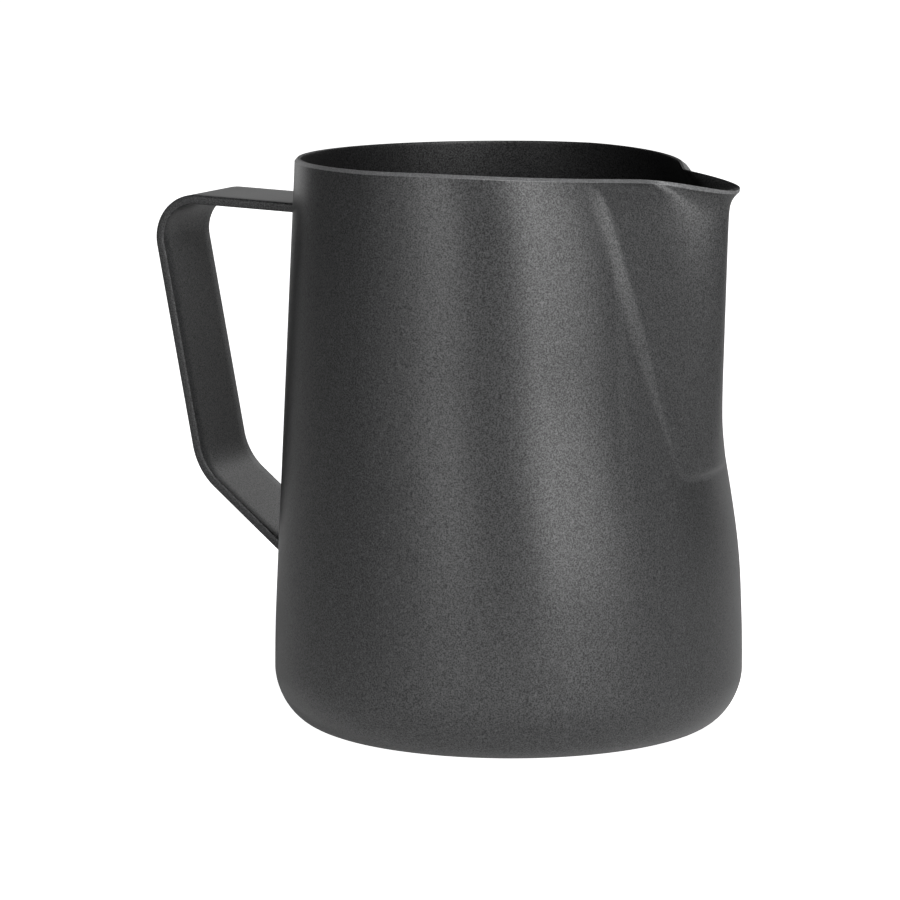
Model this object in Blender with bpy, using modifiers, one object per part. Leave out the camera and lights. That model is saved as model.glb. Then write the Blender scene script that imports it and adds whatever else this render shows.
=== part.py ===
"""Milk frothing pitcher: a one-piece drawn steel cup with a pressed pouring spout, and a bent flat
strap handle whose two ends are cut to the curve of the wall and welded on above and below.

Frame: +Z up, origin at the centre of the flat underside, +X towards the spout, handle towards -X.
Units are metres.  The cup and the handle are symmetric about the XZ plane."""

import bmesh
import bpy
import math
from mathutils import Vector

MM = 0.001

# ---------------------------------------------------------------- driving dimensions
HEIGHT = 110.2 * MM             # rim height at the handle side
RIM_RADIUS = 41.6 * MM          # outside radius at the rim, before the spout is pressed
BELLY_RADIUS = 46.05 * MM       # largest outside radius
BELLY_HEIGHT = 10.2 * MM        # height where the corner of the base meets the belly
CONE_FOOT = 17.0 * MM           # height where the straight cone of the wall meets the belly
BASE_RADIUS = 38.6 * MM         # radius of the flat underside
CORNER_FULLNESS = 1.78          # superellipse exponent of the corner; 2 is an ellipse
WALL = 1.0 * MM                 # sheet thickness of the cup
GAP = 0.3 * MM                  # clearance kept between touching pieces

SPOUT_REACH = 43.5 * MM         # ridge of the spout from the cup's axis, at the foot of the spout
SPOUT_RISE = 0.037              # how much further out the ridge runs per unit of height
LIP_FLARE = 2.1 * MM            # the lip's curl beyond the ridge
LIP_DEPTH = 1.5 * MM            # depth over which the lip curls out
LIP_DROP = 1.7 * MM             # extra dip of the rim at the lip
LIP_ANGLE = math.radians(12)    # half angle over which the lip dips
RIM_DROP = 3.0 * MM             # dip of the rim towards the spout
RIM_DROP_START = math.radians(90)
RIM_BLEND = 1.7 * MM            # depth over which the open shape of the lip fades into the beak
SPOUT_EDGE = math.radians(62)   # beyond this angle from the spout there is only round wall
SPOUT_FOOT = 51.5 * MM          # lowest point of the pressed bulge
SPOUT_FOOT_ROUND = 7.1 * MM     # height over which the foot of the bulge rounds off
SPOUT_FOOT_HALF = 13.5 * MM     # half width of the bulge above that rounding
FOOT_SQUARENESS = 6.8           # how square the rounded foot is
SPOUT_SPREAD = 0.303            # how fast the half width grows with height
SPOUT_HALF_MIN = 3.0 * MM
WALL_GIRTH_RADIUS = 40.5 * MM   # radius at which widths along the wall are measured
STEP_WIDTH = 1.6 * MM           # the soft step round the bulge, at its foot
STEP_SPREAD = 0.049             # how much wider the step gets per unit of height
STEP_HEIGHT = 0.3 * MM          # at the foot of the bulge, and what is added higher up
STEP_MORE = 0.35 * MM
STEP_GROWTH = 25.0 * MM         # height over the foot at which the step is full
FLANK_SLOPE = 0.45              # the flat of the flank, against the cross direction, at the foot
FLANK_TWIST = 3.7               # how much steeper it gets per unit of height
RIDGE_ROUND = 4.8 * MM          # softens the flank planes where they meet
BEAK_WIDTH = 7.0 * MM           # half width of the beak on the flanks
BEAK_BLUNTNESS = 2.0            # how flat the beak's crest is
LIP_WIDTH = 9.6 * MM            # the same at the lip
LIP_BLUNTNESS = 5.0
LIP_SLOPE = 0.49                # the flank's slope at the lip

PINCH_START = math.radians(106)     # the wall draws in from here towards the spout
PINCH_FULL = math.radians(35)
PINCH_LOW = 3.6 * MM            # how far, well below the rim, and what the rim adds
PINCH_RIM = 3.0 * MM
PINCH_DEPTH = 11.0 * MM
PINCH_FOOT = 28.0 * MM          # the drawing-in starts at this height and is full a fade higher
PINCH_FADE = 44.0 * MM
DIP_FOOT = 60.0 * MM            # above this height the drawn wall follows the dip of the rim
DIP_FADE = 40.0 * MM

STRAP_WIDTH = 19.4 * MM
STRAP_THICK = 1.8 * MM
STRAP_INSIDE = 38.0 * MM        # radius where both ends of the strap lie before they are cut off
ARM_HEIGHT = 99.4 * MM          # strap centreline at that radius, upper arm
ARM_SLOPE = math.radians(2.1)   # the upper arm climbs slightly on its way out
GRIP_RADIUS = 73.8 * MM         # distance from the axis where arm and grip lines cross
GRIP_LEAN = math.radians(10.84)     # the grip leans in towards its lower end
GRIP_LENGTH = 55.25 * MM        # between the corners of the centreline
LOWER_LEAN = math.radians(50.7)     # lower arm, measured from the vertical
KNUCKLE_BEND = 7.8 * MM         # bend radii of the centreline
HEEL_BEND = 12.85 * MM

BEAD_RADIUS = 0.8 * MM          # fillet welds above and below both arms
BEAD_MARGIN = 1.0 * MM          # a bead stops this far from the edges of the strap
BEAD_POINTS = 13

SEAT_LOW = 20.0 * MM            # the cone that cuts the ends of the strap to the wall
SEAT_HIGH = 120.0 * MM
SEAT_SIDES = 96

CUP_COLUMNS = 96
FRONT_DENSITY = 0.5             # share of the even column spacing that is kept at the spout
STRAP_COLUMNS = 4
SHARP_ANGLE = math.radians(35)  # edges that bend more than this stay crisp


# ---------------------------------------------------------------- shape of the cup
def smooth_step(t):
    t = min(max(t, 0.0), 1.0)
    return t * t * (3.0 - 2.0 * t)


def turned_radius(z):
    """Outside radius of the blank: a straight cone that eases into the belly."""
    cone = RIM_RADIUS + (BELLY_RADIUS - RIM_RADIUS) * (HEIGHT - z) / (HEIGHT - CONE_FOOT)
    return min(cone, BELLY_RADIUS)


def rim_height(angle):
    """Height of the rim at an angle from the spout."""
    broad = RIM_DROP * max(1.0 - angle / RIM_DROP_START, 0.0) ** 1.25
    lip = LIP_DROP * math.exp(-(angle / LIP_ANGLE) ** 3)
    return HEIGHT - broad - lip


def wall_radius(angle, z, depth):
    """The round wall, drawn in on both sides of the spout; depth is measured from the rim."""
    front = max((PINCH_START - angle) / (PINCH_START - PINCH_FULL), 0.0)
    front = min(front, 1.0) ** 1.1
    pinch = PINCH_LOW + PINCH_RIM * math.exp(-depth / PINCH_DEPTH)
    pinch *= smooth_step((z - PINCH_FOOT) / PINCH_FADE)
    return turned_radius(z) - pinch * front


def bulge_half_width(z):
    """Half width of the pressed bulge along the wall, before its foot is rounded off."""
    half = SPOUT_FOOT_HALF + SPOUT_SPREAD * (z - SPOUT_FOOT - SPOUT_FOOT_ROUND)
    return max(half, SPOUT_HALF_MIN)


def flank_fall(side, slope):
    """How far the flat flank falls back at a distance to the side of the ridge."""
    return slope * (math.hypot(side, RIDGE_ROUND) - RIDGE_ROUND)


def spout_radius(angle, z, depth):
    """The beak as a radius from the cup's axis: flat flanks that hollow out towards a round ridge."""
    ridge = SPOUT_REACH + SPOUT_RISE * (z - SPOUT_FOOT)
    ridge += LIP_FLARE * math.exp(-(depth / LIP_DEPTH) ** 1.4)
    near_rim = math.exp(-depth / RIM_BLEND)
    slope = FLANK_SLOPE + FLANK_TWIST * (z - SPOUT_FOOT)
    slope += (LIP_SLOPE - slope) * near_rim
    edge_angle = bulge_half_width(z) / WALL_GIRTH_RADIUS
    step = STEP_HEIGHT + STEP_MORE * smooth_step((z - SPOUT_FOOT) / STEP_GROWTH)
    step *= 1.0 - near_rim
    edge_radius = wall_radius(edge_angle, z, depth) + step
    edge_side = edge_radius * math.sin(edge_angle)
    beak = ridge - edge_radius * math.cos(edge_angle) - flank_fall(edge_side, slope)
    beak_width = BEAK_WIDTH + (LIP_WIDTH - BEAK_WIDTH) * near_rim
    bluntness = BEAK_BLUNTNESS + (LIP_BLUNTNESS - BEAK_BLUNTNESS) * near_rim
    radius = ridge
    for _ in range(30):
        side = radius * math.sin(angle)
        fall = flank_fall(side, slope) + beak * (1.0 - math.exp(-(side / beak_width) ** bluntness))
        radius = 0.5 * radius + 0.5 * (ridge - fall) / max(math.cos(angle), 0.2)
    return radius


def inside_bulge(angle, z):
    """Distance on the wall from the outline of the bulge, positive inside it."""
    across = abs(angle) * WALL_GIRTH_RADIUS
    half = bulge_half_width(z)
    below = max((SPOUT_FOOT + SPOUT_FOOT_ROUND - z) / SPOUT_FOOT_ROUND, 0.0)
    power = FOOT_SQUARENESS
    level = 1.0 - (across / half) ** power - below ** power
    slope_across = power * (across / half) ** (power - 1.0) / half
    slope_up = power * below ** (power - 1.0) / SPOUT_FOOT_ROUND
    slope_up += slope_across * across / half * SPOUT_SPREAD
    return level / max(math.hypot(slope_across, slope_up), 1.0)


def cup_radius(angle, z):
    """Outside radius of the finished cup at an angle from the spout."""
    angle = abs(angle)
    depth = max(rim_height(angle) - z, 0.0)
    wall = wall_radius(angle, z, depth)
    if angle > SPOUT_EDGE:
        return wall
    step_width = STEP_WIDTH + STEP_SPREAD * max(z - SPOUT_FOOT, 0.0)
    share = smooth_step(inside_bulge(angle, z) / step_width + 0.5)
    return wall + share * (spout_radius(angle, z, depth) - wall)


# ---------------------------------------------------------------- building
def clear_scene():
    for item in list(bpy.data.objects):
        bpy.data.objects.remove(item, do_unlink=True)


def new_collection(name):
    collection = bpy.data.collections.new(name)
    bpy.context.scene.collection.children.link(collection)
    return collection


def coated_steel(name, colour, roughness):
    material = bpy.data.materials.new(name)
    material.use_nodes = True
    shader = material.node_tree.nodes["Principled BSDF"]
    shader.inputs["Base Color"].default_value = (*colour, 1.0)
    shader.inputs["Roughness"].default_value = roughness
    shader.inputs["Metallic"].default_value = 0.35
    return material


def add_object(name, mesh, collection, material=None):
    item = bpy.data.objects.new(name, mesh)
    collection.objects.link(item)
    if material:
        mesh.materials.append(material)
    return item


def frozen(item, name):
    """A plain mesh of an object with its modifiers applied; the object itself is removed."""
    evaluated = item.evaluated_get(bpy.context.evaluated_depsgraph_get())
    mesh = bpy.data.meshes.new_from_object(evaluated)
    mesh.name = name
    bpy.data.objects.remove(item, do_unlink=True)
    return mesh


def add_solidify(item, thickness, offset):
    shell = item.modifiers.new("sheet", "SOLIDIFY")
    shell.thickness = thickness
    shell.offset = offset
    shell.use_even_offset = True
    return shell


def smooth_shade(mesh):
    mesh.shade_smooth()
    mesh.set_sharp_from_angle(angle=SHARP_ANGLE)


# ---------------------------------------------------------------- cup
def blank_profile():
    """Outer side of the drawn blank as (radius, height), from the rim down to the axis."""
    lip_rows = [0.0, 0.9, 2.0, 4.0, 8.0, 14.0]
    beak_rows = [21.0, 29.0, 37.0, 44.0]
    foot_rows = [49.0, 51.5, 54.0, 56.5, 59.0, 62.0, 67.0]
    belly_rows = [76.0, 86.0]
    points = []
    for drop in lip_rows + beak_rows + foot_rows + belly_rows:
        z = HEIGHT - drop * MM
        points.append((turned_radius(z), z))
    corner_steps = 6
    for i in range(corner_steps + 1):
        turn = math.radians(90) * i / corner_steps
        out = max(math.cos(turn), 0.0) ** (2.0 / CORNER_FULLNESS)
        up = 1.0 - math.sin(turn) ** (2.0 / CORNER_FULLNESS)
        points.append((BASE_RADIUS + (BELLY_RADIUS - BASE_RADIUS) * out, BELLY_HEIGHT * up))
    points.append((0.0, 0.0))
    return points


def turned_blank(collection):
    profile = blank_profile()
    mesh = bpy.data.meshes.new("blank")
    edges = [(i, i + 1) for i in range(len(profile) - 1)]
    mesh.from_pydata([(radius, 0.0, z) for radius, z in profile], edges, [])
    blank = add_object("blank", mesh, collection)
    turn = blank.modifiers.new("turn", "SCREW")
    turn.steps = CUP_COLUMNS
    turn.render_steps = CUP_COLUMNS
    turn.use_merge_vertices = True
    turn.merge_threshold = 0.00001
    return frozen(blank, "cup")


def press_spout(mesh):
    """Moves the blank's points to the finished cup; the columns crowd together at the spout."""
    for vertex in mesh.vertices:
        x, y, z = vertex.co
        if math.hypot(x, y) < 1.0 * MM:
            continue
        turn = math.atan2(y, x) / math.pi
        angle = math.pi * (FRONT_DENSITY * turn + (1.0 - FRONT_DENSITY) * turn ** 3)
        z -= (HEIGHT - rim_height(abs(angle))) * smooth_step((z - DIP_FOOT) / DIP_FADE)
        radius = math.hypot(x, y)
        if z > BELLY_HEIGHT:
            radius = cup_radius(angle, z)
        vertex.co = (radius * math.cos(angle), radius * math.sin(angle), z)


def make_cup(collection):
    mesh = turned_blank(collection)
    press_spout(mesh)
    smooth_shade(mesh)
    coating = coated_steel("cup_coating", (0.035, 0.036, 0.038), 0.42)
    cup = add_object("cup_body", mesh, collection, coating)
    add_solidify(cup, WALL, -1.0)


# ---------------------------------------------------------------- handle
def bend(corner, before, after, radius, steps):
    """Points of an arc that rounds the corner between two unit directions."""
    angle = math.acos(max(-1.0, min(1.0, before.dot(after))))
    start = corner - before * radius * math.tan(angle / 2)
    inward = (after - before * before.dot(after)).normalized()
    points = []
    for i in range(steps + 1):
        part = angle * i / steps
        sideways = inward * radius * (1.0 - math.cos(part))
        points.append(start + before * radius * math.sin(part) + sideways)
    return points


def strap_centreline():
    """(radius, height) points from inside the cup along the upper arm, down and back in."""
    outward = Vector((math.cos(ARM_SLOPE), math.sin(ARM_SLOPE)))
    down_grip = Vector((-math.sin(GRIP_LEAN), -math.cos(GRIP_LEAN)))
    down_lower = Vector((-math.sin(LOWER_LEAN), -math.cos(LOWER_LEAN)))
    upper_end = Vector((STRAP_INSIDE, ARM_HEIGHT))
    knuckle = upper_end + outward * (GRIP_RADIUS - STRAP_INSIDE) / outward.x
    heel = knuckle + down_grip * GRIP_LENGTH
    lower_end = heel + down_lower * (STRAP_INSIDE - heel.x) / down_lower.x
    points = [upper_end]
    points += bend(knuckle, outward, down_grip, KNUCKLE_BEND, 10)
    points += bend(heel, down_grip, down_lower, HEEL_BEND, 8)
    points.append(lower_end)
    return points


def make_strap_mesh():
    """The middle surface of the strap, flat across."""
    bm = bmesh.new()
    rows = []
    for point in strap_centreline():
        row = []
        for i in range(STRAP_COLUMNS + 1):
            across = STRAP_WIDTH * (i / STRAP_COLUMNS - 0.5)
            row.append(bm.verts.new((-point.x, across, point.y)))
        rows.append(row)
    for upper, lower in zip(rows, rows[1:]):
        for i in range(STRAP_COLUMNS):
            bm.faces.new((upper[i], upper[i + 1], lower[i + 1], lower[i]))
    mesh = bpy.data.meshes.new("strap")
    bm.to_mesh(mesh)
    bm.free()
    return mesh


def add_seat(cutters):
    """The straight cone of the wall, one gap larger: it cuts both ends of the strap to length."""
    mesh = bpy.data.meshes.new("wall_seat")
    bm = bmesh.new()
    bmesh.ops.create_cone(
        bm, cap_ends=True, segments=SEAT_SIDES, depth=SEAT_HIGH - SEAT_LOW,
        radius1=turned_radius(SEAT_LOW) + GAP, radius2=turned_radius(SEAT_HIGH) + GAP,
    )
    bmesh.ops.translate(bm, vec=(0.0, 0.0, (SEAT_LOW + SEAT_HIGH) / 2), verts=bm.verts)
    bm.to_mesh(mesh)
    bm.free()
    seat = add_object("wall_seat", mesh, cutters)
    seat.hide_render = True
    seat.display_type = "WIRE"
    return seat


def bead_path(end, toward, side):
    """Middle of a fillet weld across an arm; the arm's centreline runs from end through toward."""
    slope = (toward.y - end.y) / (toward.x - end.x)
    lift = side * (STRAP_THICK / 2 + GAP + BEAD_RADIUS) * math.hypot(1.0, slope)
    reach = STRAP_WIDTH / 2 - BEAD_MARGIN - BEAD_RADIUS
    points = []
    for i in range(BEAD_POINTS):
        across = reach * (2.0 * i / (BEAD_POINTS - 1) - 1.0)
        out = end.x
        for _ in range(20):
            z = end.y + slope * (out - end.x) + lift
            out = math.sqrt((turned_radius(z) + GAP + BEAD_RADIUS) ** 2 - across ** 2)
        points.append((-out, across, z))
    return points


def add_bead(name, path, collection, material):
    """A round bead swept along a path."""
    curve = bpy.data.curves.new(name, "CURVE")
    curve.dimensions = "3D"
    curve.bevel_depth = BEAD_RADIUS
    curve.bevel_resolution = 3
    curve.use_fill_caps = True
    spline = curve.splines.new("POLY")
    spline.points.add(len(path) - 1)
    for point, place in zip(spline.points, path):
        point.co = (*place, 1.0)
    swept = add_object(f"{name}_sweep", curve, collection)
    mesh = frozen(swept, name)
    smooth_shade(mesh)
    add_object(name, mesh, collection, material)


def make_handle(collection, cutters):
    mesh = make_strap_mesh()
    smooth_shade(mesh)
    coating = coated_steel("strap_coating", (0.032, 0.033, 0.035), 0.45)
    handle = add_object("strap_handle", mesh, collection, coating)
    add_solidify(handle, STRAP_THICK, 0.0)
    ends = handle.modifiers.new("ends", "BOOLEAN")
    ends.operation = "DIFFERENCE"
    ends.object = add_seat(cutters)
    weld_metal = coated_steel("weld_coating", (0.034, 0.035, 0.037), 0.5)
    line = strap_centreline()
    for level, end, toward in (("upper", line[0], line[1]), ("lower", line[-1], line[-2])):
        for place, side in (("top", 1), ("under", -1)):
            path = bead_path(end, toward, side)
            add_bead(f"weld_{level}_{place}", path, collection, weld_metal)


def main():
    clear_scene()
    parts = new_collection("milk_frothing_pitcher")
    cutters = new_collection("cutters")
    make_cup(parts)
    make_handle(parts, cutters)


main()
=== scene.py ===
"""Looks of the milk frothing pitcher: fine meshes of its cup, strap handle and weld beads, their
satin coating, and a plain pale studio.

Units are metres, in the CAD's frame: +Z up, +X to the spout, handle towards -X."""

import math

import bmesh
import bpy
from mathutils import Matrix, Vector


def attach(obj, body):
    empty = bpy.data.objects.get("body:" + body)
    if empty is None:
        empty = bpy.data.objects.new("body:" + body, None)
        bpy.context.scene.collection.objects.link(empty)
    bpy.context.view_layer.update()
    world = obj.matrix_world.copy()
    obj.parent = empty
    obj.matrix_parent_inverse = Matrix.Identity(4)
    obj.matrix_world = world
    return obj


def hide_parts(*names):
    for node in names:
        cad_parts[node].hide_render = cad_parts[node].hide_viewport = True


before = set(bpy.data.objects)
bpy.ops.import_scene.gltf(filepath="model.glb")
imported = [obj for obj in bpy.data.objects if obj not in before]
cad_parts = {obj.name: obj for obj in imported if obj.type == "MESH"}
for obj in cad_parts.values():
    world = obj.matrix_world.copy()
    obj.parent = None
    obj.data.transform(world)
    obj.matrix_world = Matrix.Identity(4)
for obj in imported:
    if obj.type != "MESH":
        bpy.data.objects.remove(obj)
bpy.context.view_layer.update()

MM = 0.001

# ---------------------------------------------------------------- sizes, the same as the CAD's
HEIGHT = 110.2 * MM
RIM_RADIUS = 41.6 * MM
BELLY_RADIUS = 46.05 * MM
BELLY_HEIGHT = 10.2 * MM
CONE_FOOT = 17.0 * MM
BASE_RADIUS = 38.6 * MM
CORNER_FULLNESS = 1.78
SHEET = 1.1 * MM                # drawn sheet and its coating on both sides

SPOUT_REACH = 43.5 * MM         # ridge of the spout from the cup's axis, at the foot of the spout
SPOUT_RISE = 0.037
LIP_FLARE = 2.1 * MM
LIP_DEPTH = 1.5 * MM
LIP_DROP = 1.7 * MM
LIP_ANGLE = math.radians(12)
RIM_DROP = 3.0 * MM
RIM_DROP_START = math.radians(90)
RIM_BLEND = 1.7 * MM
SPOUT_EDGE = math.radians(62)
SPOUT_FOOT = 51.5 * MM
SPOUT_FOOT_ROUND = 7.1 * MM
SPOUT_FOOT_HALF = 13.5 * MM
FOOT_SQUARENESS = 6.8
SPOUT_SPREAD = 0.303
SPOUT_HALF_MIN = 3.0 * MM
WALL_GIRTH_RADIUS = 40.5 * MM
STEP_WIDTH = 1.6 * MM
STEP_SPREAD = 0.049
STEP_HEIGHT = 0.3 * MM
STEP_MORE = 0.35 * MM
STEP_GROWTH = 25.0 * MM
FLANK_SLOPE = 0.45
FLANK_TWIST = 3.7
RIDGE_ROUND = 4.8 * MM
BEAK_WIDTH = 7.0 * MM
BEAK_BLUNTNESS = 2.0
LIP_WIDTH = 9.6 * MM            # the beak's numbers at the lip
LIP_BLUNTNESS = 5.0
LIP_SLOPE = 0.49

PINCH_START = math.radians(106)
PINCH_FULL = math.radians(35)
PINCH_LOW = 3.6 * MM
PINCH_RIM = 3.0 * MM
PINCH_DEPTH = 11.0 * MM
PINCH_FOOT = 28.0 * MM
PINCH_FADE = 44.0 * MM
DIP_FOOT = 60.0 * MM
DIP_FADE = 40.0 * MM

STRAP_WIDTH = 19.4 * MM
STRAP_THICK = 1.8 * MM
STRAP_INSIDE = 38.0 * MM
ARM_HEIGHT = 99.4 * MM
ARM_SLOPE = math.radians(2.1)
GRIP_RADIUS = 73.8 * MM
GRIP_LEAN = math.radians(10.84)
GRIP_LENGTH = 55.25 * MM
LOWER_LEAN = math.radians(50.7)
KNUCKLE_BEND = 7.8 * MM
HEEL_BEND = 12.85 * MM

# ---------------------------------------------------------------- finish of the meshes
BELLY_EASE = 0.25 * MM          # softens the change from the straight wall to the belly
RIM_BEVEL_IN = 0.5 * MM         # the rim's outer edge is bevelled over this much of the sheet
RIM_BEVEL_DOWN = 0.58 * MM      # and over this much of the wall
RIM_BEVEL_SOFT = 0.12           # share of the bevel that is rounded at either side
RIM_BEVEL_EASE = 0.3            # the rounding starts at this share of that part
RIM_INNER_ROUND = 0.2 * MM
RIM_INNER_STEPS = 3
CUP_COLUMNS = 288
FRONT_DENSITY = 0.5             # share of the even column spacing that is kept at the spout
FIRST_ROW = 1.2 * RIM_BEVEL_DOWN    # depth of the wall's first row under the rim
WALL_BANDS = (
    # depth under the rim where a band of rows ends, and the spacing of its rows
    (6.0 * MM, 0.42 * MM),
    (14.0 * MM, 0.8 * MM),
    (46.0 * MM, 1.1 * MM),
    (62.0 * MM, 0.65 * MM),
    (66.0 * MM, 1.1 * MM),
    (HEIGHT - BELLY_HEIGHT, 2.4 * MM),
)
CORNER_STEPS = 16
BASE_RINGS = (0.97, 0.75, 0.4, 0.1)     # rings of the flat underside, as shares of its radius
INSIDE_FINE_ROWS = 12           # below these the inside keeps every second row
INSIDE_LAST_ROWS = 5            # and its last ones
STRAP_ROUND = 0.35 * MM         # edges of the strap
STRAP_ROUND_STEPS = 3
STRAP_FLAT_STEPS = 8
STRAP_ROW = 1.2 * MM            # spacing of the grip's rows
KNUCKLE_STEPS = 24
HEEL_STEPS = 18
ARM_STEPS = 22
STRAP_ROLL = math.tan(math.radians(0.6))    # the welded strap leans a little to one side
STRAP_SINK = 0.1 * MM           # the welded ends of the strap reach this far into the wall
BEAD_RADIUS = 0.85 * MM         # weld beads
BEAD_LIFT = 0.35 * MM           # how far the middle of a bead stands off the wall and the strap
BEAD_RIPPLE = 0.08 * MM
BEAD_POINTS = 61
BEAD_SIDES = 14
BEAD_BLUNTNESS = 14             # how late a bead tapers towards its ends
BEAD_TIP = 0.04                 # share of its radius that is left at the very end

# ---------------------------------------------------------------- coating
DARK = (0.03, 0.0303, 0.031)
RIM_HIGHLIGHT_PAINT = (0.12, 0.121, 0.123)     # the rim's bevel: a lighter colour, a painted highlight along the edge
# the inside is drawn about a third as bright as the outside
INSIDE_DARK = (0.009, 0.0091, 0.0094)
GRAIN = 0.3                     # how much the colour varies from grain to grain
# grain of the painted highlight on the rim's bevel
RIM_HIGHLIGHT_PAINT_GRAIN = 0.2
GRAIN_SCALE = 3600.0            # cells per metre of the fine grain
FLECK_SCALE = 2600.0
PEEL_SCALE = 420.0
CLOUD_SCALE = 24.0
FLECK_BRIGHTNESS = 2.2          # of the bright flecks, against the grain
FLECKS_FROM = 0.9               # the share of cells that are no bright flecks
NOISE_LOW = 0.3                 # the part of a noise's range that is used
NOISE_HIGH = 0.7
CLOUD_TONE = 0.04
CLOUD_ROUGHNESS = 0.02
GRAIN_ROUGHNESS = 0.03
GLINT = 0.3                     # how much the reflection varies from grain to grain
GRAIN_BUMP = 0.03 * MM
PEEL_BUMP = 0.04 * MM

# ---------------------------------------------------------------- studio
VIEW_AZIMUTH = math.radians(25)
CAMERA_PLACE = Vector((0.32762, -0.72987, 0.17637))
CAMERA_PITCH = math.radians(8.78)
CAMERA_FOCAL = 165.37
SENSOR = 36.0
FLOOR_HALF = 6.0
FLOOR_PALE = 0.75
FLOOR_GLOW = 0.02
FLOOR_SPOT = (0.065, -0.15, 0.0)        # the table is brightest here, under the key light
FLOOR_SPOT_REACH = 0.2
FLOOR_SPOT_GLOW = 0.6
WHITE_SEEN = 1.1                # the camera sees the floor and the surround as plain white
SOFTBOXES = (
    # name, bearing to the right of the camera, height, distance, width, tall, power
    ("key", 22.5, 0.28, 1.2, 0.236, 0.56, 2.5),
    ("key_side", 39.4, 0.28, 1.2, 0.47, 0.56, 2.88),
    ("key_edge", 56.25, 0.28, 1.2, 0.236, 0.56, 0.65),
    ("fill", -28.1, 0.28, 1.2, 0.47, 0.56, 2.6),
    ("fill_edge", -50.6, 0.28, 1.2, 0.47, 0.56, 0.57),
    ("right", 84.4, 0.28, 1.2, 0.47, 0.56, 0.42),
    ("back_right", 146.0, 0.28, 1.2, 0.7, 0.56, 0.8),
    ("back", 180.0, 0.28, 1.2, 0.477, 0.56, 0.45),
    ("back_left", -150.0, 0.28, 1.2, 0.6, 0.56, 1.0),
    ("high_key", 16.0, 0.9, 1.0, 0.4, 0.6, 7.0),
    ("high_side", 33.75, 0.9, 1.0, 0.2, 0.6, 3.7),
    ("high_right", 90.0, 0.9, 1.0, 0.4, 0.6, 0.6),
    ("high_back", 150.0, 0.62, 1.1, 0.5, 0.4, 0.8),
    ("top", 0.0, 1.3, 0.02, 0.9, 0.9, 1.0),
)


# ---------------------------------------------------------------- shape of the cup
def smooth_step(t):
    t = min(max(t, 0.0), 1.0)
    return t * t * (3.0 - 2.0 * t)


def turned_radius(z):
    """Outside radius before the spout is pressed: a straight cone that eases into the belly."""
    over = (BELLY_RADIUS - RIM_RADIUS) * ((HEIGHT - z) / (HEIGHT - CONE_FOOT) - 1.0)
    return BELLY_RADIUS + 0.5 * (over - math.hypot(over, BELLY_EASE))


def rim_height(angle):
    """Height of the rim at an angle from the spout."""
    broad = RIM_DROP * max(1.0 - angle / RIM_DROP_START, 0.0) ** 1.25
    lip = LIP_DROP * math.exp(-(angle / LIP_ANGLE) ** 3)
    return HEIGHT - broad - lip


def wall_radius(angle, z, depth):
    """The round wall, drawn in on both sides of the spout; depth is measured from the rim."""
    front = max((PINCH_START - angle) / (PINCH_START - PINCH_FULL), 0.0)
    front = min(front, 1.0) ** 1.1
    pinch = PINCH_LOW + PINCH_RIM * math.exp(-depth / PINCH_DEPTH)
    pinch *= smooth_step((z - PINCH_FOOT) / PINCH_FADE)
    return turned_radius(z) - pinch * front


def bulge_half_width(z):
    """Half width of the pressed bulge along the wall, before its foot is rounded off."""
    half = SPOUT_FOOT_HALF + SPOUT_SPREAD * (z - SPOUT_FOOT - SPOUT_FOOT_ROUND)
    return max(half, SPOUT_HALF_MIN)


def flank_fall(side, slope):
    """How far the flat flank falls back at a distance to the side of the ridge."""
    return slope * (math.hypot(side, RIDGE_ROUND) - RIDGE_ROUND)


def spout_radius(angle, z, depth):
    """The beak: flat flanks that hollow out towards a round ridge."""
    ridge = SPOUT_REACH + SPOUT_RISE * (z - SPOUT_FOOT)
    ridge += LIP_FLARE * math.exp(-(depth / LIP_DEPTH) ** 1.4)
    near_rim = math.exp(-depth / RIM_BLEND)
    slope = FLANK_SLOPE + FLANK_TWIST * (z - SPOUT_FOOT)
    slope += (LIP_SLOPE - slope) * near_rim
    edge_angle = bulge_half_width(z) / WALL_GIRTH_RADIUS
    step = STEP_HEIGHT + STEP_MORE * smooth_step((z - SPOUT_FOOT) / STEP_GROWTH)
    step *= 1.0 - near_rim
    edge_radius = wall_radius(edge_angle, z, depth) + step
    edge_side = edge_radius * math.sin(edge_angle)
    beak = ridge - edge_radius * math.cos(edge_angle) - flank_fall(edge_side, slope)
    beak_width = BEAK_WIDTH + (LIP_WIDTH - BEAK_WIDTH) * near_rim
    bluntness = BEAK_BLUNTNESS + (LIP_BLUNTNESS - BEAK_BLUNTNESS) * near_rim
    radius = ridge
    for _ in range(30):
        side = radius * math.sin(angle)
        fall = flank_fall(side, slope) + beak * (1.0 - math.exp(-(side / beak_width) ** bluntness))
        radius = 0.5 * radius + 0.5 * (ridge - fall) / max(math.cos(angle), 0.2)
    return radius


def inside_bulge(angle, z):
    """Distance on the wall from the outline of the bulge, positive inside it."""
    across = abs(angle) * WALL_GIRTH_RADIUS
    half = bulge_half_width(z)
    below = max((SPOUT_FOOT + SPOUT_FOOT_ROUND - z) / SPOUT_FOOT_ROUND, 0.0)
    power = FOOT_SQUARENESS
    level = 1.0 - (across / half) ** power - below ** power
    slope_across = power * (across / half) ** (power - 1.0) / half
    slope_up = power * below ** (power - 1.0) / SPOUT_FOOT_ROUND
    slope_up += slope_across * across / half * SPOUT_SPREAD
    return level / max(math.hypot(slope_across, slope_up), 1.0)


def cup_radius(angle, z):
    """Outside radius of the finished cup at an angle from the spout."""
    angle = abs(angle)
    depth = max(rim_height(angle) - z, 0.0)
    wall = wall_radius(angle, z, depth)
    if angle > SPOUT_EDGE:
        return wall
    step_width = STEP_WIDTH + STEP_SPREAD * max(z - SPOUT_FOOT, 0.0)
    share = smooth_step(inside_bulge(angle, z) / step_width + 0.5)
    return wall + share * (spout_radius(angle, z, depth) - wall)


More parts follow.
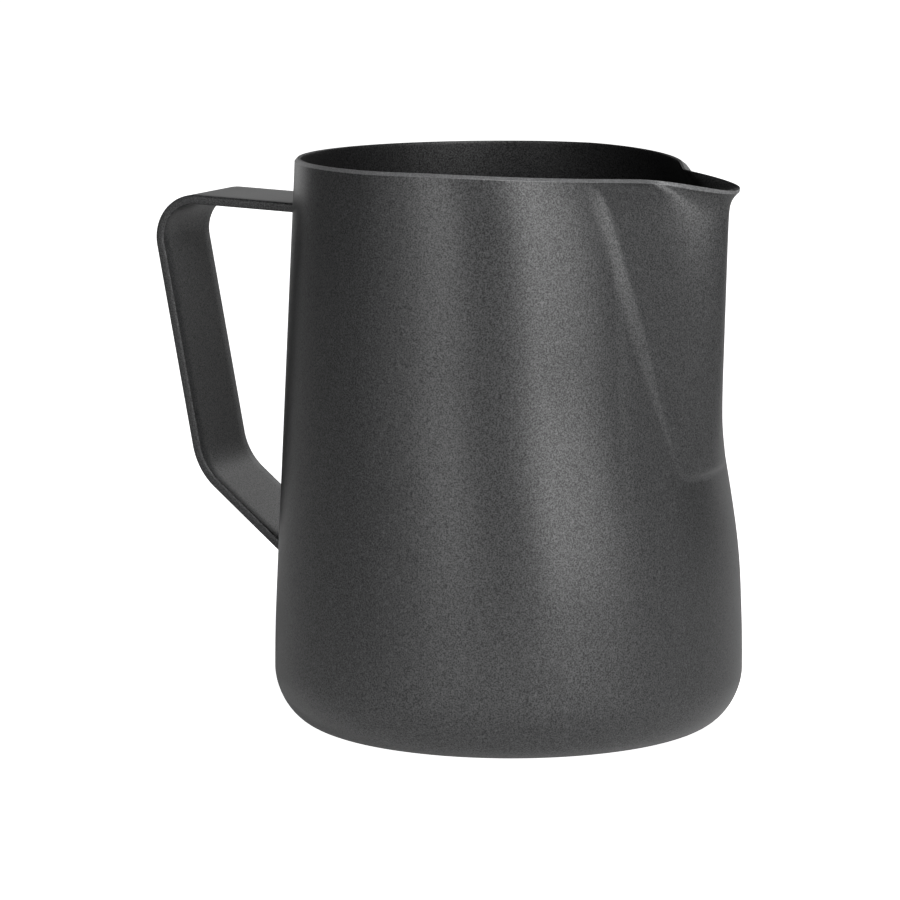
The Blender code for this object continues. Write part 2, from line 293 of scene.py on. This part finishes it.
def on_cup(angle, z):
    radius = cup_radius(angle, z)
    return Vector((radius * math.cos(angle), radius * math.sin(angle), z))


# ---------------------------------------------------------------- mesh helpers
def rows_to_mesh(name, rows, start=None, end=None):
    """Closed rings joined into a skin; start and end are points that close the first and last ring."""
    bm = bmesh.new()
    rings = [[bm.verts.new(point) for point in row] for row in rows]
    count = len(rings[0])
    for upper, lower in zip(rings, rings[1:]):
        for i in range(count):
            k = (i + 1) % count
            bm.faces.new((upper[i], upper[k], lower[k], lower[i]))
    for ring, tip in ((rings[0], start), (rings[-1], end)):
        if tip is None:
            bm.faces.new(ring)
            continue
        centre = bm.verts.new(tip)
        for i in range(count):
            bm.faces.new((ring[i], ring[(i + 1) % count], centre))
    bmesh.ops.recalc_face_normals(bm, faces=bm.faces)
    mesh = bpy.data.meshes.new(name)
    bm.to_mesh(mesh)
    bm.free()
    mesh.shade_smooth()
    return mesh


def add_piece(name, mesh, material, node):
    piece = bpy.data.objects.new(name, mesh)
    bpy.context.scene.collection.objects.link(piece)
    mesh.materials.append(material)
    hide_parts(node)
    return piece


# ---------------------------------------------------------------- cup
def ring(radius, z, angles):
    return [Vector((radius * math.cos(a), radius * math.sin(a), z)) for a in angles]


def spaced(first, last, step):
    """Even numbers from the first one up to, but without, the last one."""
    count = max(round(abs(last - first) / step), 1)
    return [first + (last - first) * i / count for i in range(count)]


def wall_heights():
    """Heights of the wall's rows at the handle side, from under the rim's bevel to the belly."""
    depths = []
    first = FIRST_ROW
    for last, spacing in WALL_BANDS:
        depths += spaced(first, last, spacing)
        first = last
    return [HEIGHT - depth for depth in depths]


def column_angles():
    """Angles of the columns from the spout; they crowd together there."""
    angles = []
    for i in range(CUP_COLUMNS):
        turn = 2.0 * i / CUP_COLUMNS - 1.0
        angles.append(math.pi * (FRONT_DENSITY * turn + (1.0 - FRONT_DENSITY) * turn ** 3))
    return angles


def outer_rows(angles):
    """The outside, from under the rim to the edge of the flat underside."""
    rows = []
    for height in wall_heights():
        row = []
        for angle in angles:
            dip = (HEIGHT - rim_height(abs(angle))) * smooth_step((height - DIP_FOOT) / DIP_FADE)
            row.append(on_cup(angle, height - dip))
        rows.append(row)
    for i in range(CORNER_STEPS + 1):
        turn = math.radians(90) * i / CORNER_STEPS
        out = max(math.cos(turn), 0.0) ** (2.0 / CORNER_FULLNESS)
        radius = BASE_RADIUS + (turned_radius(BELLY_HEIGHT) - BASE_RADIUS) * out
        z = BELLY_HEIGHT * (1.0 - math.sin(turn) ** (2.0 / CORNER_FULLNESS))
        rows.append(ring(radius, z, angles))
    rows += [ring(BASE_RADIUS * share, 0.0, angles) for share in BASE_RINGS]
    return rows


def inner_rows(rows):
    """The same sheet's inside: the outside moved in by its thickness, along the surface's normal."""
    count = len(rows[0])
    inner = []
    for k, row in enumerate(rows):
        above = rows[max(k - 1, 0)]
        below = rows[min(k + 1, len(rows) - 1)]
        moved = []
        for i, point in enumerate(row):
            along = row[(i + 1) % count] - row[i - 1]
            down = below[i] - above[i]
            normal = down.cross(along).normalized()
            moved.append(point - normal * SHEET)
        inner.append(moved)
    return inner


def rim_rows(angles):
    """The edge of the sheet, from the wall over the outer bevel and the top to the inside."""
    top = [on_cup(a, rim_height(abs(a))) for a in angles]
    count = len(top)
    soft = RIM_BEVEL_SOFT
    ease = soft * RIM_BEVEL_EASE
    section = [(0.0, RIM_BEVEL_DOWN * (1.0 + soft))]
    for share in (ease, soft, 0.5, 1.0 - soft, 1.0 - ease):
        section.append((RIM_BEVEL_IN * share, RIM_BEVEL_DOWN * (1.0 - share)))
    section.append((RIM_BEVEL_IN * (1.0 + soft), 0.0))
    for k in range(1, RIM_INNER_STEPS + 1):
        turn = math.radians(90) * k / RIM_INNER_STEPS
        inset = SHEET - RIM_INNER_ROUND * (1.0 - math.sin(turn))
        depth = RIM_INNER_ROUND * (1.0 - math.cos(turn))
        section.append((inset, depth))
    rows = []
    for inset, depth in section:
        row = []
        for i, angle in enumerate(angles):
            along = top[(i + 1) % count] - top[i - 1]
            inward = Vector((-along.y, along.x, 0.0)).normalized()
            outside = on_cup(angle, rim_height(abs(angle)) - depth)
            row.append(outside + inward * inset)
        rows.append(row)
    return rows


def make_cup(outside_material, rim_highlight_material, inside_material):
    angles = column_angles()
    outside = outer_rows(angles)
    rim = rim_rows(angles)
    inside = inner_rows(outside)
    last = len(inside) - INSIDE_LAST_ROWS
    kept = [k for k in range(len(inside)) if k < INSIDE_FINE_ROWS or k % 2 == 0 or k >= last]
    rows = outside[::-1] + rim + [inside[k] for k in kept]
    mesh = rows_to_mesh("cup_fine", rows, Vector((0, 0, 0)), Vector((0, 0, SHEET)))
    shell = add_piece("cup_shell", mesh, outside_material, "cup_body")
    mesh.materials.append(rim_highlight_material)
    mesh.materials.append(inside_material)
    # the rim's bevel gets the lighter rim material: a painted highlight along the edge
    count = len(angles)
    first_bevel = len(outside) * count
    first_inside = (len(outside) + len(rim) - RIM_INNER_STEPS - 1) * count
    underside = (len(rows) - 1) * count
    for face in mesh.polygons:
        if first_bevel <= face.index < first_inside:
            face.material_index = 1
        elif first_inside <= face.index < underside or face.index >= underside + count:
            face.material_index = 2
    return shell


# ---------------------------------------------------------------- handle
def bend(corner, before, after, radius, steps):
    """Points of an arc that rounds the corner between two unit directions."""
    angle = math.acos(max(-1.0, min(1.0, before.dot(after))))
    start = corner - before * radius * math.tan(angle / 2)
    inward = (after - before * before.dot(after)).normalized()
    points = []
    for i in range(steps + 1):
        part = angle * i / steps
        sideways = inward * radius * (1.0 - math.cos(part))
        points.append(start + before * radius * math.sin(part) + sideways)
    return points


def strap_bends():
    """The two ends of the strap's middle line, (radius, height), and its two bends."""
    outward = Vector((math.cos(ARM_SLOPE), math.sin(ARM_SLOPE)))
    down_grip = Vector((-math.sin(GRIP_LEAN), -math.cos(GRIP_LEAN)))
    down_lower = Vector((-math.sin(LOWER_LEAN), -math.cos(LOWER_LEAN)))
    upper_end = Vector((STRAP_INSIDE, ARM_HEIGHT))
    knuckle = upper_end + outward * (GRIP_RADIUS - STRAP_INSIDE) / outward.x
    heel = knuckle + down_grip * GRIP_LENGTH
    lower_end = heel + down_lower * (STRAP_INSIDE - heel.x) / down_lower.x
    knuckle_points = bend(knuckle, outward, down_grip, KNUCKLE_BEND, KNUCKLE_STEPS)
    heel_points = bend(heel, down_grip, down_lower, HEEL_BEND, HEEL_STEPS)
    return upper_end, knuckle_points, heel_points, lower_end


def between(first, last, step):
    """Even points from the first one up to, but without, the last one."""
    count = max(round((last - first).length / step), 1)
    return [first + (last - first) * i / count for i in range(count)]


def reach_wall(point, toward, across, lead):
    """Slides a (radius, height) point along a line until it is a lead off the round wall."""
    step = (toward - point).normalized()
    for _ in range(20):
        target = math.sqrt((turned_radius(point.y) + lead) ** 2 - across ** 2)
        point = point + step * (target - point.x) / step.x
    return point


def strap_section():
    """(across, out) points round the strap's cross-section, with rounded edges."""
    points = []
    flat = STRAP_WIDTH / 2 - STRAP_ROUND
    lifted = STRAP_THICK / 2 - STRAP_ROUND
    turns = [math.radians(90) * i / STRAP_ROUND_STEPS for i in range(STRAP_ROUND_STEPS + 1)]
    for side in (1, -1):
        for i in range(STRAP_FLAT_STEPS + 1):
            points.append((side * flat * (2.0 * i / STRAP_FLAT_STEPS - 1.0), side * STRAP_THICK / 2))
        for turn in turns[1:]:
            across = flat + STRAP_ROUND * math.sin(turn)
            points.append((side * across, side * (lifted + STRAP_ROUND * math.cos(turn))))
        for turn in turns[:-1]:
            across = flat + STRAP_ROUND * math.cos(turn)
            points.append((side * across, -side * (lifted + STRAP_ROUND * math.sin(turn))))
    return points


def rows_between(first, last):
    """Even rows of an arm, without its two ends."""
    shares = [i / ARM_STEPS for i in range(1, ARM_STEPS)]
    return [[a.lerp(b, share) for a, b in zip(first, last)] for share in shares]


def make_strap(material):
    """The bent strap; both ends are cut to the curve of the wall."""
    upper_end, knuckle, heel, lower_end = strap_bends()
    grip = between(knuckle[-1], heel[0], STRAP_ROW)
    middle = [upper_end] + knuckle[:-1] + grip + heel + [lower_end]
    rows = []
    last = len(middle) - 1
    for k, point in enumerate(middle):
        along = (middle[min(k + 1, last)] - middle[max(k - 1, 0)]).normalized()
        out = Vector((along.y, -along.x))
        row = []
        for across, lift in strap_section():
            place = point + out * lift
            if k in (0, last):
                place = reach_wall(place, place + along, across, -STRAP_SINK)
            row.append(Vector((-place.x, across, place.y + across * STRAP_ROLL)))
        rows.append(row)
    upper_arm = rows_between(rows[0], rows[1])
    lower_arm = rows_between(rows[-2], rows[-1])
    rows = rows[:1] + upper_arm + rows[1:-1] + lower_arm + rows[-1:]
    mesh = rows_to_mesh("strap_fine", rows)
    return add_piece("strap", mesh, material, "strap_handle")


def make_bead(node, end, toward, side, seed, material):
    """A fillet weld in the corner between the wall and one face of an arm, with fine ripples."""
    slope = (toward.y - end.y) / (toward.x - end.x)
    lift = side * (STRAP_THICK / 2 + BEAD_LIFT) * math.hypot(1.0, slope)
    start = end + Vector((0.0, lift))
    reach = STRAP_WIDTH / 2 - STRAP_ROUND - BEAD_RADIUS * 0.6
    rows = []
    for i in range(BEAD_POINTS):
        share = 2.0 * i / (BEAD_POINTS - 1) - 1.0
        across = reach * share
        middle = reach_wall(start, start + (toward - end), across, BEAD_LIFT)
        taper = math.sqrt(max(1.0 - abs(share) ** BEAD_BLUNTNESS, 0.0))
        taper = taper * (1.0 - BEAD_TIP) + BEAD_TIP
        ripple = BEAD_RIPPLE * math.sin(i * 1.45 + seed) + 0.5 * BEAD_RIPPLE * math.sin(i * 0.61 + 2 * seed)
        radius = (BEAD_RADIUS + ripple) * taper
        row = []
        for j in range(BEAD_SIDES):
            turn = math.radians(360) * j / BEAD_SIDES
            row.append(Vector((
                -middle.x - radius * math.cos(turn), across,
                middle.y + radius * math.sin(turn) + across * STRAP_ROLL,
            )))
        rows.append(row)
    mesh = rows_to_mesh(f"{node}_fine", rows)
    return add_piece(f"{node}_bead", mesh, material, node)


# ---------------------------------------------------------------- coating
class Nodes:
    """Short calls to build a material's nodes."""

    def __init__(self, tree):
        self.tree = tree

    def put(self, socket, value):
        """Links an input to another node's output, or sets its number."""
        if isinstance(value, bpy.types.NodeSocket):
            self.tree.links.new(value, socket)
        else:
            socket.default_value = value

    def add(self, kind, **inputs):
        node = self.tree.nodes.new(kind)
        for key, value in inputs.items():
            self.put(node.inputs[key.replace("_", " ")], value)
        return node

    def math(self, operation, first, second):
        node = self.tree.nodes.new("ShaderNodeMath")
        node.operation = operation
        self.put(node.inputs[0], first)
        self.put(node.inputs[1], second)
        return node.outputs[0]

    def map(self, value, low, high, to_low, to_high):
        node = self.add(
            "ShaderNodeMapRange", Value=value, From_Min=low, From_Max=high, To_Min=to_low, To_Max=to_high
        )
        return node.outputs["Result"]

    def noise(self, place, scale, detail):
        return self.add("ShaderNodeTexNoise", Vector=place, Scale=scale, Detail=detail).outputs["Fac"]

    def spread(self, noise, low, high):
        """A noise as numbers between two limits."""
        return self.map(noise, NOISE_LOW, NOISE_HIGH, low, high)


def coating(name, base, roughness, grain):
    """Satin coating: fine metallic grain with bright flecks, faint clouding and a soft orange peel."""
    material = bpy.data.materials.new(name)
    material.use_nodes = True
    n = Nodes(material.node_tree)
    shader = material.node_tree.nodes["Principled BSDF"]
    place = n.add("ShaderNodeTexCoord").outputs["Object"]
    fine = n.noise(place, GRAIN_SCALE, 1.0)
    peel = n.noise(place, PEEL_SCALE, 2.0)
    cloud = n.noise(place, CLOUD_SCALE, 3.0)
    flecks = n.add("ShaderNodeTexVoronoi", Vector=place, Scale=FLECK_SCALE)
    fleck_pick = n.add("ShaderNodeSeparateColor", Color=flecks.outputs["Color"])
    bright = n.map(fleck_pick.outputs[0], FLECKS_FROM, 1.0, 0.0, 1.0)
    speck = n.spread(fine, 1.0 - grain, 1.0 + grain)
    speck = n.math("ADD", speck, n.math("MULTIPLY", bright, grain * FLECK_BRIGHTNESS))
    tone = n.math("MULTIPLY", speck, n.spread(cloud, 1.0 - CLOUD_TONE, 1.0 + CLOUD_TONE))
    colour = n.add("ShaderNodeVectorMath")
    colour.operation = "SCALE"
    n.put(colour.inputs[0], base)
    n.put(colour.inputs["Scale"], tone)
    n.put(shader.inputs["Base Color"], colour.outputs[0])
    rough = n.spread(cloud, roughness - CLOUD_ROUGHNESS, roughness + CLOUD_ROUGHNESS)
    rough = n.math("ADD", rough, n.spread(fine, -GRAIN_ROUGHNESS, GRAIN_ROUGHNESS))
    n.put(shader.inputs["Roughness"], rough)
    n.put(shader.inputs["Metallic"], 0.0)
    n.put(shader.inputs["Specular IOR Level"], n.spread(fine, 0.5 - GLINT, 0.5 + GLINT))
    bump_fine = n.add("ShaderNodeBump", Strength=0.35, Distance=GRAIN_BUMP, Height=fine)
    bump_peel = n.add(
        "ShaderNodeBump", Strength=0.2, Distance=PEEL_BUMP, Height=peel, Normal=bump_fine.outputs[0]
    )
    n.put(shader.inputs["Normal"], bump_peel.outputs[0])
    return material


# ---------------------------------------------------------------- studio
def make_camera():
    data = bpy.data.cameras.new("camera")
    data.sensor_width = SENSOR
    data.lens = CAMERA_FOCAL
    data.clip_start = 0.05
    camera = bpy.data.objects.new("camera", data)
    camera.location = CAMERA_PLACE
    camera.rotation_euler = (math.radians(90) - CAMERA_PITCH, 0.0, VIEW_AZIMUTH)
    bpy.context.scene.collection.objects.link(camera)
    bpy.context.scene.camera = camera


def softbox(name, side, height, distance, width, tall, power):
    """An area light that faces the pitcher; side is its bearing to the right of the camera, in degrees."""
    data = bpy.data.lights.new(name, "AREA")
    data.shape = "RECTANGLE"
    data.size = width
    data.size_y = tall
    data.energy = power
    bearing = VIEW_AZIMUTH - math.radians(90) + math.radians(side)
    spot = Vector((math.cos(bearing) * distance, math.sin(bearing) * distance, height))
    light = bpy.data.objects.new(name, data)
    light.location = spot
    aim = Vector((0.0, 0.0, HEIGHT / 2)) - spot
    light.rotation_euler = aim.to_track_quat("-Z", "Y").to_euler()
    light.visible_camera = False
    bpy.context.scene.collection.objects.link(light)


def make_floor():
    """Pale paper that shows as plain white, and lights the pitcher a little from a spot in front."""
    bm = bmesh.new()
    bmesh.ops.create_grid(bm, x_segments=4, y_segments=4, size=FLOOR_HALF)
    mesh = bpy.data.meshes.new("floor")
    bm.to_mesh(mesh)
    bm.free()
    material = bpy.data.materials.new("floor_paper")
    material.use_nodes = True
    n = Nodes(material.node_tree)
    shader = material.node_tree.nodes["Principled BSDF"]
    n.put(shader.inputs["Base Color"], (FLOOR_PALE, FLOOR_PALE, FLOOR_PALE, 1.0))
    n.put(shader.inputs["Roughness"], 0.9)
    n.put(shader.inputs["Specular IOR Level"], 0.0)
    n.put(shader.inputs["Emission Color"], (1.0, 1.0, 1.0, 1.0))
    from_spot = n.add("ShaderNodeVectorMath")
    from_spot.operation = "DISTANCE"
    n.put(from_spot.inputs[0], n.add("ShaderNodeTexCoord").outputs["Object"])
    n.put(from_spot.inputs[1], FLOOR_SPOT)
    spot = n.map(from_spot.outputs["Value"], 0.0, FLOOR_SPOT_REACH, FLOOR_SPOT_GLOW, 0.0)
    seen = n.add("ShaderNodeLightPath").outputs["Is Camera Ray"]
    glow = n.math("MULTIPLY", n.math("ADD", spot, FLOOR_GLOW), n.math("SUBTRACT", 1.0, seen))
    glow = n.math("ADD", glow, n.math("MULTIPLY", seen, WHITE_SEEN))
    n.put(shader.inputs["Emission Strength"], glow)
    mesh.materials.append(material)
    floor = bpy.data.objects.new("floor", mesh)
    bpy.context.scene.collection.objects.link(floor)


def make_room():
    """A dark room, with a white surround where the camera looks past the pitcher."""
    world = bpy.data.worlds.new("studio")
    bpy.context.scene.world = world
    world.use_nodes = True
    n = Nodes(world.node_tree)
    room = world.node_tree.nodes["Background"]
    seen = n.add("ShaderNodeLightPath").outputs["Is Camera Ray"]
    n.put(room.inputs["Color"], (1.0, 1.0, 1.0, 1.0))
    n.put(room.inputs["Strength"], n.math("MULTIPLY", seen, WHITE_SEEN))


def main():
    make_camera()
    outside = coating("cup_satin", DARK, 0.33, GRAIN)
    # the rim's bevel in a lighter colour that paints in the highlight along the edge
    rim = coating("cup_rim_painted_highlight", RIM_HIGHLIGHT_PAINT, 0.4, RIM_HIGHLIGHT_PAINT_GRAIN)
    inside = coating("cup_inside", INSIDE_DARK, 0.42, GRAIN)
    strap = coating("strap_satin", DARK, 0.33, GRAIN)
    weld = coating("weld_satin", DARK, 0.36, GRAIN)
    pieces = [(make_cup(outside, rim, inside), "cup_coating"), (make_strap(strap), "strap_coating")]
    upper_end, knuckle, heel, lower_end = strap_bends()
    beads = (
        ("weld_upper_top", upper_end, knuckle[0], 1),
        ("weld_upper_under", upper_end, knuckle[0], -1),
        ("weld_lower_top", lower_end, heel[-1], 1),
        ("weld_lower_under", lower_end, heel[-1], -1),
    )
    for seed, (node, end, toward, side) in enumerate(beads):
        pieces.append((make_bead(node, end, toward, side, seed, weld), "weld_coating"))
    for piece, slot in pieces:
        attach(piece, "root")
    make_floor()
    make_room()
    for settings in SOFTBOXES:
        softbox(*settings)
    bpy.context.scene.view_settings.view_transform = "Standard"


main()
